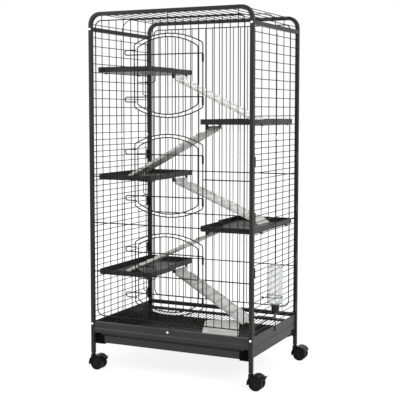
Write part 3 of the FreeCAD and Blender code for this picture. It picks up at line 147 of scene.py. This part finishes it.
def moulded_plastic(name, dark, light, cells, rough, gloss):
    """Moulded black plastic with a leathery grain."""
    plastic = Shader(name)
    cloud = plastic.noise(scale=14.0, detail=4.0)
    grain = plastic.cells(cells)
    colour = plastic.greys(cloud, dark, light)
    normal = plastic.bump(grain, strength=0.3, depth=0.0003)
    plastic.set(Specular_IOR_Level=gloss)
    return plastic.finish(colour, plastic.spread(cloud, rough - SMOOTHER, rough + ROUGHER), normal)


def milky_plastic(name):
    """Pale, slightly translucent plastic with a mottled frost."""
    plastic = Shader(name)
    cloud = plastic.noise(scale=24.0, detail=6.0)
    frost = plastic.noise(scale=420.0, detail=3.0)
    colour = plastic.ramp(cloud, [
        (0.32, (0.62, 0.62, 0.58)),
        (0.50, (0.78, 0.78, 0.75)),
        (0.70, (0.92, 0.92, 0.90)),
    ])
    normal = plastic.bump(frost, strength=0.25, depth=0.0004)
    plastic.set(Transmission_Weight=0.25, IOR=PLASTIC_IOR)
    return plastic.finish(colour, plastic.spread(frost, low=0.28, high=0.42), normal)


def bright_metal(name, dark, light, rough, stretch):
    """Plated or drawn steel with fine streaks."""
    metal = Shader(name)
    streaks = metal.noise(scale=220.0, detail=4.0, stretch=stretch)
    colour = metal.greys(streaks, dark, light)
    normal = metal.bump(streaks, strength=0.12, depth=0.0002)
    metal.set(Metallic=1.0)
    return metal.finish(colour, metal.spread(streaks, rough - STREAKED, rough + STREAKED), normal)


def clear_plastic(name):
    """Blown clear plastic with a faint ripple."""
    plastic = Shader(name)
    ripple = plastic.noise(scale=45.0, detail=2.0, stretch=(1.0, 1.0, 0.25))
    colour = plastic.ramp(ripple, [(NOISE_LOW, (0.82, 0.83, 0.83)), (NOISE_HIGH, (0.92, 0.92, 0.92))])
    normal = plastic.bump(ripple, strength=0.3, depth=0.001)
    plastic.set(Transmission_Weight=1.0, IOR=PLASTIC_IOR)
    return plastic.finish(colour, plastic.spread(ripple, low=0.05, high=0.14), normal)


FRAME_COAT = powder_coat("frame_powder_coat", dark=0.011, light=0.018, gloss=0.22)
WIRE_COAT = powder_coat("wire_powder_coat", dark=0.005, light=0.009, gloss=0.15)
PANEL_COAT = powder_coat("panel_powder_coat", dark=0.012, light=0.019, gloss=0.35)
PLATFORM = moulded_plastic("platform_plastic", dark=0.010, light=0.016, cells=900, rough=0.40, gloss=0.26)
CASTER = moulded_plastic("caster_plastic", dark=0.003, light=0.006, cells=1400, rough=0.36, gloss=0.16)
WHEEL = moulded_plastic("wheel_plastic", dark=0.003, light=0.006, cells=1100, rough=0.50, gloss=0.14)
CLIP = moulded_plastic("clip_plastic", dark=0.004, light=0.008, cells=1300, rough=0.45, gloss=0.16)
# Near-black with almost no sheen: partly the brackets' own black, partly painted shade where the shoes
# fill the recesses at the runner ends
SHOE_AND_PAINTED_SHADE = moulded_plastic("shoe_plastic_and_painted_shade", dark=0.002, light=0.004, cells=1400, rough=0.60, gloss=0.03)
CAP = moulded_plastic("cap_plastic", dark=0.003, light=0.006, cells=1600, rough=0.22, gloss=0.25)
PALE = milky_plastic("milky_plastic")
ZINC = bright_metal("bright_zinc", dark=0.70, light=0.85, rough=0.24, stretch=(1, 1, 1))
STEEL = bright_metal("drawn_steel", dark=0.07, light=0.12, rough=0.26, stretch=(1, 1, 8))
DARK_STEEL = bright_metal("blackened_steel", dark=0.03, light=0.06, rough=0.40, stretch=(1, 1, 8))
CLEAR = clear_plastic("clear_plastic")

# Materials by the start of a node's name; all others are wire
LOOKS = [
    (("front_frame", "back_frame", "left_top_rail", "right_top_rail"), FRAME_COAT),
    (("front_base_rail", "back_base_rail", "grate_ledges"), PANEL_COAT),
    (("left_base_panel", "right_base_panel", "slide_tray"), PANEL_COAT),
    (("platform_",), PLATFORM),
    (("ramp_", "landing_mat"), PALE),
    (("caster_hood", "brake_lever", "tray_runners"), CASTER),
    (("caster_wheels",), WHEEL),
    (("caster_axle", "caster_stems"), DARK_STEEL),
    (("bottle_spout",), STEEL),
    (("side_clips",), CLIP),
    (("frame_screws",), ZINC),
    (("bottle_body",), CLEAR),
    (("bottle_cap",), CAP),
]


def look_of(name):
    for starts, material in LOOKS:
        if name.startswith(starts):
            return material
    return WIRE_COAT


for name, thing in nodes.items():
    thing.data.materials.clear()
    thing.data.materials.append(look_of(name))

MM = 0.001
SHEET = 1.2 * MM
BEND = 2.5 * MM
BEND_STEPS = 5
# The largest share of a straight run that one bend takes up
BEND_SHARE = 0.48
SMOOTH_UNDER = math.radians(35)
# The gap left between a sheet piece and what it lies against
TOUCH = 0.1 * MM


def rounded(points):
    """An open line in a plane, with a bend in place of each corner."""
    points = [Vector(point) for point in points]
    line = [points[0]]
    for before, corner, after in zip(points, points[1:], points[2:]):
        back, on = before - corner, after - corner
        reach = min(BEND / math.tan(back.angle(on) / 2), BEND_SHARE * back.length, BEND_SHARE * on.length)
        start = corner + reach * back.normalized()
        end = corner + reach * on.normalized()
        for step in range(BEND_STEPS + 1):
            t = step / BEND_STEPS
            line.append((1 - t) ** 2 * start + 2 * t * (1 - t) * corner + t ** 2 * end)
    return line + [points[-1]]


def thickened(line, thickness):
    """The line moved sideways by a sheet's thickness, to the left of its way."""
    ways = [(after - before).normalized() for before, after in zip(line, line[1:])]
    moved = []
    for point, before, after in zip(line, ways[:1] + ways, ways + ways[-1:]):
        side = Vector((-before.y - after.y, before.x + after.x))
        moved.append(point + side * (2 * thickness / side.length_squared))
    return moved


def folded_sheet(name, line, ends, placed, body, material, thickness):
    """A folded sheet piece: a line across its folds, drawn out from one end to the other."""
    pairs = list(zip(line, thickened(line, thickness)))
    mesh = bmesh.new()
    rings = []
    for along in sorted(ends):
        rings.append([[mesh.verts.new(placed(point, along)) for point in pair] for pair in pairs])
    first, second = rings
    for k in range(len(pairs) - 1):
        for side in (0, 1):
            mesh.faces.new((first[k][side], first[k + 1][side], second[k + 1][side], second[k][side]))
        for ring in rings:
            mesh.faces.new((ring[k][0], ring[k + 1][0], ring[k + 1][1], ring[k][1]))
    for k in (0, -1):
        mesh.faces.new((first[k][0], first[k][1], second[k][1], second[k][0]))
    bmesh.ops.recalc_face_normals(mesh, faces=mesh.faces)
    data = bpy.data.meshes.new(name)
    mesh.to_mesh(data)
    mesh.free()
    data.shade_smooth()
    data.set_sharp_from_angle(angle=SMOOTH_UNDER)
    data.materials.append(material)
    piece = bpy.data.objects.new(name, data)
    scene.collection.objects.link(piece)
    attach(piece, body)
    return piece


def along_x(point, along):
    return (along, point.x, point.y)


def along_y(point, along):
    return (point.x, along, point.y)


def mirrored(line, side):
    return line if side > 0 else [Vector((-point.x, point.y)) for point in reversed(line)]


def upright(place, low_z, high_z):
    """A straight line up, or down on the far side, so that the sheet's thickness goes inwards."""
    return mirrored([Vector((abs(place), low_z)), Vector((abs(place), high_z))], place)


def coated(name, line, ends, placed, body):
    return folded_sheet(name, line, ends, placed, body, PANEL_COAT, SHEET)


# Front rail: a lower strip that stands proud, with a sloping step that catches the light
RAIL_STEP = 3 * MM
RAIL_SLOPE = 5 * MM
RAIL_SLOPE_TOP = 154.5 * MM
RAIL_TOP_DROP = 1.5 * MM
low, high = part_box("front_base_rail")
strip, sheet_face, back = low.y, low.y + RAIL_STEP, high.y
rail_line = rounded([
    (back, high.z - RAIL_TOP_DROP),
    (sheet_face, high.z - RAIL_TOP_DROP),
    (sheet_face, RAIL_SLOPE_TOP),
    (strip, RAIL_SLOPE_TOP - RAIL_SLOPE),
    (strip, low.z),
    (back, low.z),
])
rail = coated("front_rail_sheet", rail_line, (low.x, high.x), along_x, "cage")
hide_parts("front_base_rail")

# Base side panels: tall sheets with a crease at mid height and a closed hem on top
CREASE_HALF = 3 * MM
CREASE_DEPTH = 2 * MM
CREASE_SHARE = 0.48
HEM_GAP = 2.6 * MM
HEM_DROP = 9 * MM
PANEL_TOP_DROP = 4.5 * MM
for name, side in (("left_base_panel", -1), ("right_base_panel", 1)):
    low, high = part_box(name)
    face = max(abs(low.x), abs(high.x))
    inner = min(abs(low.x), abs(high.x))
    top = high.z - PANEL_TOP_DROP
    crease = low.z + CREASE_SHARE * (top - low.z)
    panel_line = rounded([
        (inner, low.z),
        (face, low.z),
        (face, crease - CREASE_HALF),
        (face - CREASE_DEPTH, crease),
        (face, crease + CREASE_HALF),
        (face, top),
        (face - HEM_GAP, top),
        (face - HEM_GAP, top - HEM_DROP),
    ])
    panel = coated(f"{name}_sheet", mirrored(panel_line, side), (low.y, high.y), along_y, "cage")
    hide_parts(name)

# Tray front: a plate that hangs below the tray's own front, folded back under it
PLATE_HALF = 269.3 * MM
PLATE_STAND = 5 * MM
PLATE_TOP = 126 * MM
PLATE_LOW = 98.2 * MM
TRAY_LIP = 9 * MM
tray_low, tray_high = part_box("slide_tray")
plate_face = tray_low.y - PLATE_STAND
tray_face = tray_low.y + TRAY_LIP
plate_line = rounded([
    (tray_low.y - TOUCH, PLATE_TOP),
    (plate_face, PLATE_TOP),
    (plate_face, PLATE_LOW),
    (tray_face, PLATE_LOW),
    (tray_face, tray_low.z - TOUCH),
])
coated("tray_front_plate", plate_line, (-PLATE_HALF, PLATE_HALF), along_x, "tray")

# Corner shoes: black brackets at the ends of the tray's runners, with a cheek outside at the back; their
# end walls and the sheets above the runners are near-black with almost no sheen, and paint the shade of
# the recesses at the runner ends
SHOE_LENGTH = 34 * MM
SHOE_REACH = 37 * MM
SHOE_LOW = 93.6 * MM
SHOE_WALL = 2 * MM
SHOE_DROP = 2 * MM
SHOE_HIGH = 127 * MM
TRAY_CLEAR = 1.5 * MM
CHEEK_LOW = 97 * MM
CHEEK_TOP = 121 * MM
low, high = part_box("tray_runners")
shoe_edge = high.x - SHEET - TOUCH
cheek_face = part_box("right_base_panel")[1].x + TOUCH + SHOE_WALL
shoe_line = rounded([
    (shoe_edge - SHOE_REACH, SHOE_LOW),
    (shoe_edge, SHOE_LOW),
    (shoe_edge, high.z - SHOE_DROP),
])


def shoe(name, line, ends, placed, body="cage"):
    folded_sheet(name, line, ends, placed, body, SHOE_AND_PAINTED_SHADE, SHOE_WALL)


for x_name, x_side in (("left", -1), ("right", 1)):
    inner_x, outer_x = x_side * (shoe_edge - SHOE_REACH), x_side * (high.x - TOUCH)
    shade_sheet_x = x_side * (tray_high.x + TRAY_CLEAR)
    for y_name, y_side in (("front", -1), ("back", 1)):
        name = f"tray_shoe_{y_name}_{x_name}"
        near, far = y_side * (high.y - SHOE_LENGTH), y_side * high.y
        shoe(name, mirrored(shoe_line, x_side), (near, far), along_y)
        end_y = y_side * (high.y + SHOE_WALL + TOUCH)
        # The end wall: partly the bracket's own black, partly painted shade closing the shadowed recess at
        # the runner's end
        shoe(f"{name}_end", upright(end_y, SHOE_LOW, high.z - TOUCH), (inner_x, outer_x), along_x)
        # A near-black sheet above the runner's end: painted shade standing in for the shadowed recess
        # there
        shoe(f"{name}_shade_sheet", upright(end_y, high.z, SHOE_HIGH), (shade_sheet_x, outer_x), along_x)
    cheek_line = upright(x_side * cheek_face, CHEEK_LOW, CHEEK_TOP)
    cheek_ends = (high.y - SHOE_LENGTH, high.y - TOUCH)
    shoe(f"tray_shoe_back_{x_name}_cheek", cheek_line, cheek_ends, along_y)
    corner_line = upright(plate_face, tray_low.z, PLATE_TOP)
    corner_ends = (x_side * (PLATE_HALF + TOUCH), x_side * tray_high.x)
    shoe(f"tray_corner_{x_name}", corner_line, corner_ends, along_x, "tray")


def joined(tree, operation, first, second):
    node = tree.nodes.new("ShaderNodeMath")
    node.operation = operation
    tree.links.new(first, node.inputs[0])
    tree.links.new(second, node.inputs[1])
    return node.outputs[0]


def looked_at(tree):
    """One for rays that see the background, directly or reflected, and zero for rays that light."""
    path = tree.nodes.new("ShaderNodeLightPath")
    reflected = joined(tree, "MAXIMUM", path.outputs["Is Glossy Ray"], path.outputs["Is Transmission Ray"])
    return joined(tree, "MAXIMUM", path.outputs["Is Camera Ray"], reflected)


# World: white to look at, softer as a light
SKY_LIGHT = 0.55
SKY_SEEN = 1.0
world = bpy.data.worlds.new("studio")
scene.world = world
world.use_nodes = True
sky = world.node_tree.nodes["Background"]
sky.inputs["Color"].default_value = (1, 1, 1, 1)
sky_light = scaled(world.node_tree, looked_at(world.node_tree), (0, 1), (SKY_LIGHT, SKY_SEEN))
world.node_tree.links.new(sky_light, sky.inputs["Strength"])

# Floor: a pale glow that fades to white away from the cage and keeps its shadow
FLOOR_HALF = 40.0
FLOOR_GREY = 0.18
FLOOR_ROUGHNESS = 0.9
GLOW_REACH = (0.6, 2.5)
GLOW = (0.86, 1.0)
floor_mesh = bpy.data.meshes.new("floor")
floor_corners = [(x * FLOOR_HALF, y * FLOOR_HALF, 0) for x, y in ((-1, -1), (1, -1), (1, 1), (-1, 1))]
floor_mesh.from_pydata(floor_corners, [], [(0, 1, 2, 3)])
floor = bpy.data.objects.new("floor", floor_mesh)
scene.collection.objects.link(floor)
ground = bpy.data.materials.new("pale_floor")
ground.use_nodes = True
tree = ground.node_tree
base = tree.nodes["Principled BSDF"]
base.inputs["Base Color"].default_value = (FLOOR_GREY, FLOOR_GREY, FLOOR_GREY, 1)
base.inputs["Roughness"].default_value = FLOOR_ROUGHNESS
base.inputs["Specular IOR Level"].default_value = 0.0
base.inputs["Emission Color"].default_value = (1, 1, 1, 1)
place = tree.nodes.new("ShaderNodeTexCoord").outputs["Object"]
distance = tree.nodes.new("ShaderNodeVectorMath")
distance.operation = "LENGTH"
tree.links.new(place, distance.inputs[0])
glow = scaled(tree, distance.outputs["Value"], GLOW_REACH, GLOW)
tree.links.new(joined(tree, "MULTIPLY", glow, looked_at(tree)), base.inputs["Emission Strength"])
floor_mesh.materials.append(ground)

LAMP_TARGET = (0, 0, 0.6)


def lamp(name, place, size, watts):
    """A round soft lamp that faces the middle of the cage."""
    light = bpy.data.lights.new(name, "AREA")
    light.shape = "DISK"
    light.size = size
    light.energy = watts
    thing = bpy.data.objects.new(name, light)
    scene.collection.objects.link(thing)
    thing.location = place
    way = [t - p for t, p in zip(LAMP_TARGET, place)]
    flat = math.hypot(way[0], way[1])
    thing.rotation_euler = (math.atan2(flat, -way[2]), 0, math.atan2(-way[0], way[1]))


lamp("key", place=(3.2, -2.2, 2.9), size=2.4, watts=170)
lamp("fill", place=(-3.0, -2.6, 1.8), size=2.6, watts=60)
lamp("top", place=(0.2, 0.3, 4.0), size=2.4, watts=90)

CAMERA_TURN = 25.550
CAMERA_DIP = 4.603
CAMERA_PLACE = (1.5187, -3.1432, 0.9457)
CAMERA_LENS = 84.66
CAMERA_SHIFT = -0.03
SENSOR_WIDTH = 36.0
CLIP_END = 200.0
camera = bpy.data.objects.new("camera", bpy.data.cameras.new("camera"))
scene.collection.objects.link(camera)
camera.location = CAMERA_PLACE
camera.rotation_euler = (math.radians(90 - CAMERA_DIP), 0, math.radians(CAMERA_TURN))
camera.data.lens = CAMERA_LENS
camera.data.sensor_width = SENSOR_WIDTH
camera.data.shift_y = CAMERA_SHIFT
camera.data.clip_end = CLIP_END
scene.camera = camera

scene.view_settings.view_transform = "Standard"
